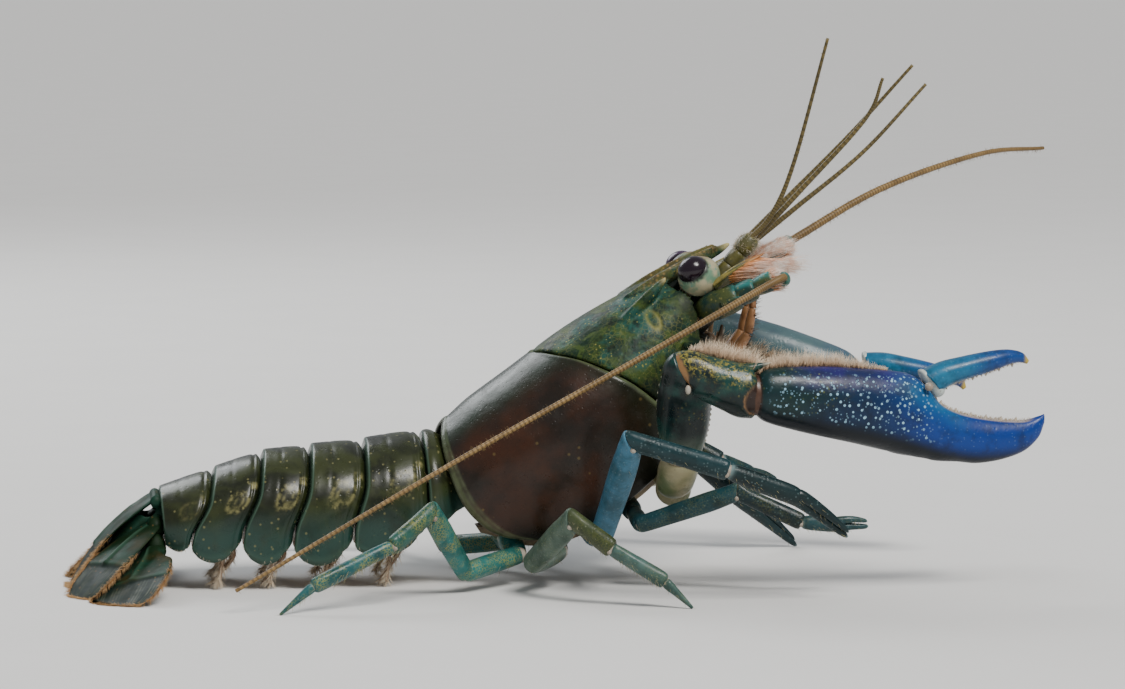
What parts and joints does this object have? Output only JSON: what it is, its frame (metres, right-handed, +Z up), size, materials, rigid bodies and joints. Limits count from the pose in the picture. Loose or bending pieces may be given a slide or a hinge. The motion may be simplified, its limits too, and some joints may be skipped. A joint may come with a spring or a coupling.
{
  "type": "crayfish",
  "caption": "Still life-size model of a dark green and brown freshwater crayfish with blue claws, walking with its head raised.",
  "frame": {"origin": "middle of the animal's bounding box, on the floor that it stands on", "axes": "+X towards the head, along the longest extent; +Y towards the animal's left; +Z up"},
  "size_m": [0.1441, 0.0645, 0.0752],
  "materials": {
    "back_shell": "glossy near-black maroon and brown shell",
    "head_shell": "satin dark green shell, mottled with yellow-green and teal",
    "abdomen_shell": "glossy dark olive-brown shell with ochre rings",
    "tail_fan": "satin green-brown tail fan with a tan fringe",
    "claw_blue": "glossy deep blue claw with pale spots",
    "arm_green": "glossy black-green arm with gold flecks",
    "leg_teal": "satin blue-teal leg with pale joints",
    "pale_joint": "cream and pinkish soft underside, mouthparts and joints",
    "eye": "glossy purple-black eye",
    "feeler": "matt gold-brown ringed feeler"
  },
  "bodies": {
    "root": {"abdomen_1": "abdomen_shell", "abdomen_2": "abdomen_shell", "abdomen_3": "abdomen_shell", "abdomen_4": "abdomen_shell", "abdomen_5": "abdomen_shell", "abdomen_6": "abdomen_shell", "antenna_left_flagellum": "feeler", "antenna_left_peduncle": "head_shell", "antenna_left_scale": "head_shell", "antenna_right_flagellum": "feeler", "antenna_right_peduncle": "head_shell", "antenna_right_scale": "head_shell", "antennule_left": "feeler", "antennule_left_inner": "feeler", "antennule_right": "feeler", "antennule_right_inner": "feeler", "carapace_back": "back_shell", "carapace_head": "head_shell", "claw_left_carpus": "arm_green", "claw_left_dactyl": "claw_blue", "claw_left_ischium": "pale_joint", "claw_left_merus": "arm_green", "claw_left_palm": "claw_blue", "claw_right_carpus": "arm_green", "claw_right_dactyl": "claw_blue", "claw_right_ischium": "pale_joint", "claw_right_merus": "arm_green", "claw_right_palm": "claw_blue", "eye_left": "eye", "eye_right": "eye", "face": "head_shell", "leg_2_left_lower": "leg_teal", "leg_2_left_upper": "leg_teal", "leg_2_right_lower": "leg_teal", "leg_2_right_upper": "leg_teal", "leg_3_left_lower": "leg_teal", "leg_3_left_upper": "leg_teal", "leg_3_right_lower": "leg_teal", "leg_3_right_upper": "leg_teal", "leg_4_left_lower": "leg_teal", "leg_4_left_upper": "leg_teal", "leg_4_right_lower": "leg_teal", "leg_4_right_upper": "leg_teal", "leg_5_left_lower": "leg_teal", "leg_5_left_upper": "leg_teal", "leg_5_right_lower": "leg_teal", "leg_5_right_upper": "leg_teal", "maxilliped_left": "pale_joint", "maxilliped_right": "pale_joint", "sternum": "pale_joint", "telson": "tail_fan", "uropod_inner_left": "tail_fan", "uropod_inner_right": "tail_fan", "uropod_outer_left": "tail_fan", "uropod_outer_right": "tail_fan"}
  },
  "joints": []
}
